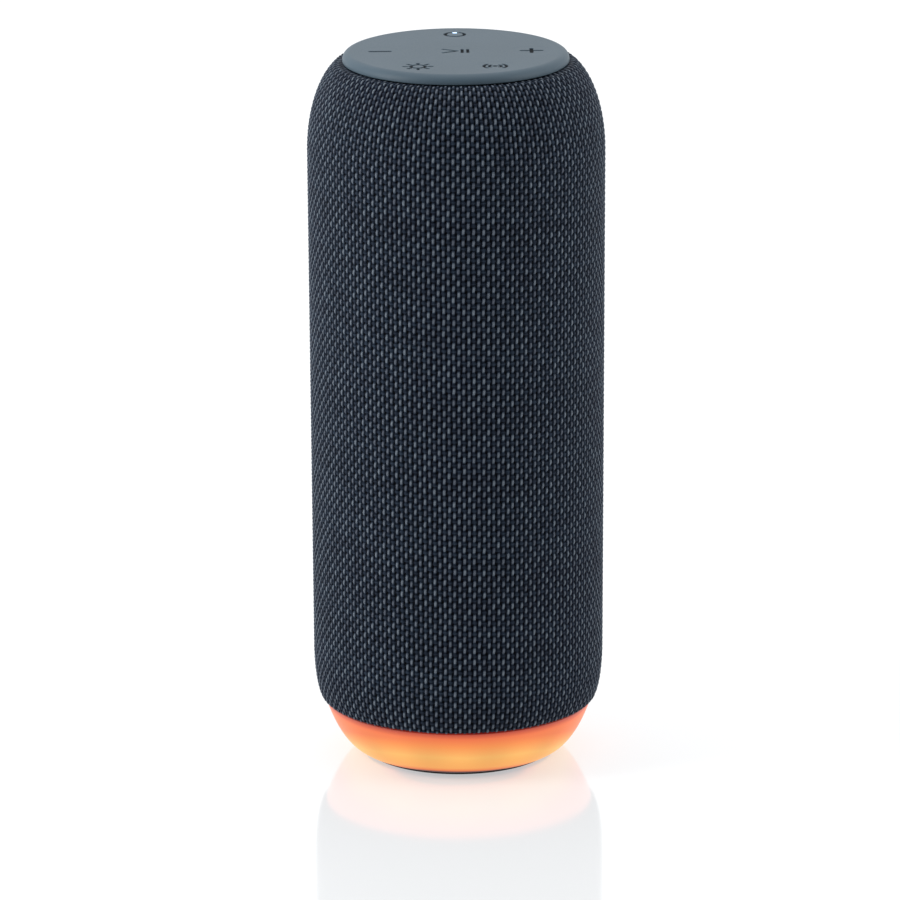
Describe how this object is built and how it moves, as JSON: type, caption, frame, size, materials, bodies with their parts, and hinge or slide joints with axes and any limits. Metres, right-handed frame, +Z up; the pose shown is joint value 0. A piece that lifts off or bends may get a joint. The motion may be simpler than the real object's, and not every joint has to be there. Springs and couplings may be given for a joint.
{
  "type": "party speaker",
  "caption": "Cylindrical fabric-covered portable speaker with a key pad on top, a lit translucent bowl at the base and a rear port door.",
  "frame": {"origin": "centre of the circle it stands on, on the floor", "axes": "+Z up along the body's axis, -Y towards the front, +Y towards the rear ports, +X to the right seen from the front"},
  "size_m": [0.08, 0.08, 0.1947],
  "materials": {
    "fabric": "coarse plain weave, navy charcoal",
    "pad_silicone": "smooth matt silicone, blue-grey",
    "lit_bowl": "translucent satin, lit orange from inside",
    "light_pipe": "clear, lit blue-white",
    "grille": "moulded black",
    "black_plastic": "moulded black, fine grain",
    "white_plastic": "white reflector",
    "white_board": "white solder mask",
    "green_board": "green solder mask",
    "cell_wrap": "blue heat-shrink over a metal can",
    "black_cable": "soft PVC",
    "red_lead": "soft PVC",
    "black_rubber": "matt",
    "cover_rubber": "matt",
    "surround_rubber": "matt butyl",
    "cone_paper": "pressed paper, dyed black",
    "basket_metal": "black e-coat",
    "magnet_metal": "zinc plated",
    "shield_metal": "tinned",
    "socket_metal": "nickel plated",
    "screw_steel": "zinc plated"
  },
  "bodies": {
    "body": {"aux_socket": "black_plastic", "base_plate": "black_plastic", "base_screw_1": "screw_steel", "base_screw_2": "screw_steel", "base_screw_3": "screw_steel", "battery_holder": "black_plastic", "battery_lead": "red_lead", "cabinet": "black_plastic", "cabinet_lid": "black_plastic", "fabric_sleeve": "fabric", "foot_ring": "black_rubber", "front_cell": "cell_wrap", "front_driver_basket": "basket_metal", "front_driver_lead": "black_cable", "front_driver_magnet": "magnet_metal", "front_driver_surround": "surround_rubber", "grille_shell": "grille", "key_board": "green_board", "key_board_screw_1": "screw_steel", "key_board_screw_2": "screw_steel", "key_board_screw_3": "screw_steel", "key_cable": "black_cable", "led_board": "white_board", "led_cable": "black_cable", "left_radiator_ring": "basket_metal", "left_radiator_surround": "surround_rubber", "lid_gasket": "black_rubber", "lid_screw_1": "screw_steel", "lid_screw_2": "screw_steel", "lid_screw_3": "screw_steel", "lid_screw_4": "screw_steel", "light_bowl": "lit_bowl", "light_reflector": "white_plastic", "main_board": "green_board", "port_bezel": "black_plastic", "port_board": "green_board", "power_light_pipe": "light_pipe", "rear_cell": "cell_wrap", "rear_driver_basket": "basket_metal", "rear_driver_lead": "black_cable", "rear_driver_magnet": "magnet_metal", "rear_driver_surround": "surround_rubber", "rf_shield": "shield_metal", "right_radiator_ring": "basket_metal", "right_radiator_surround": "surround_rubber", "top_cap": "black_plastic", "top_pad": "pad_silicone", "usb_socket": "socket_metal"},
    "front_driver_cone": {"front_driver_cone": "cone_paper"},
    "left_radiator_plate": {"left_radiator_plate": "magnet_metal"},
    "light_key": {"light_key": "pad_silicone"},
    "minus_key": {"minus_key": "pad_silicone"},
    "pairing_key": {"pairing_key": "pad_silicone"},
    "play_key": {"play_key": "pad_silicone"},
    "plus_key": {"plus_key": "pad_silicone"},
    "port_cover": {"port_cover": "cover_rubber"},
    "power_key": {"power_key": "pad_silicone"},
    "rear_driver_cone": {"rear_driver_cone": "cone_paper"},
    "right_radiator_plate": {"right_radiator_plate": "magnet_metal"}
  },
  "joints": [
    {"name": "power_press", "type": "slide", "parent": "body", "child": "power_key", "axis": [0, 0, -1], "range_m": [0, 0.0005], "stiffness_N_per_m": 3000},
    {"name": "minus_press", "type": "slide", "parent": "body", "child": "minus_key", "axis": [0, 0, -1], "range_m": [0, 0.0005], "stiffness_N_per_m": 3000},
    {"name": "play_press", "type": "slide", "parent": "body", "child": "play_key", "axis": [0, 0, -1], "range_m": [0, 0.0005], "stiffness_N_per_m": 3000},
    {"name": "plus_press", "type": "slide", "parent": "body", "child": "plus_key", "axis": [0, 0, -1], "range_m": [0, 0.0005], "stiffness_N_per_m": 3000},
    {"name": "light_press", "type": "slide", "parent": "body", "child": "light_key", "axis": [0, 0, -1], "range_m": [0, 0.0005], "stiffness_N_per_m": 3000},
    {"name": "pairing_press", "type": "slide", "parent": "body", "child": "pairing_key", "axis": [0, 0, -1], "range_m": [0, 0.0005], "stiffness_N_per_m": 3000},
    {"name": "port_cover_hinge", "type": "hinge", "parent": "body", "child": "port_cover", "pos_m": [0, 0.0366, 0.0453], "axis": [1, 0, 0], "range_deg": [0, 95]},
    {"name": "front_cone_travel", "type": "slide", "parent": "body", "child": "front_driver_cone", "axis": [0, -1, 0], "range_m": [-0.001, 0.001], "stiffness_N_per_m": 1000, "deforming": ["front_driver_surround"]},
    {"name": "rear_cone_travel", "type": "slide", "parent": "body", "child": "rear_driver_cone", "axis": [0, 1, 0], "range_m": [-0.001, 0.001], "stiffness_N_per_m": 1000, "deforming": ["rear_driver_surround"]},
    {"name": "left_plate_travel", "type": "slide", "parent": "body", "child": "left_radiator_plate", "axis": [-1, 0, 0], "range_m": [-0.001, 0.001], "stiffness_N_per_m": 1000, "deforming": ["left_radiator_surround"]},
    {"name": "right_plate_travel", "type": "slide", "parent": "body", "child": "right_radiator_plate", "axis": [1, 0, 0], "range_m": [-0.001, 0.001], "stiffness_N_per_m": 1000, "deforming": ["right_radiator_surround"]}
  ]
}
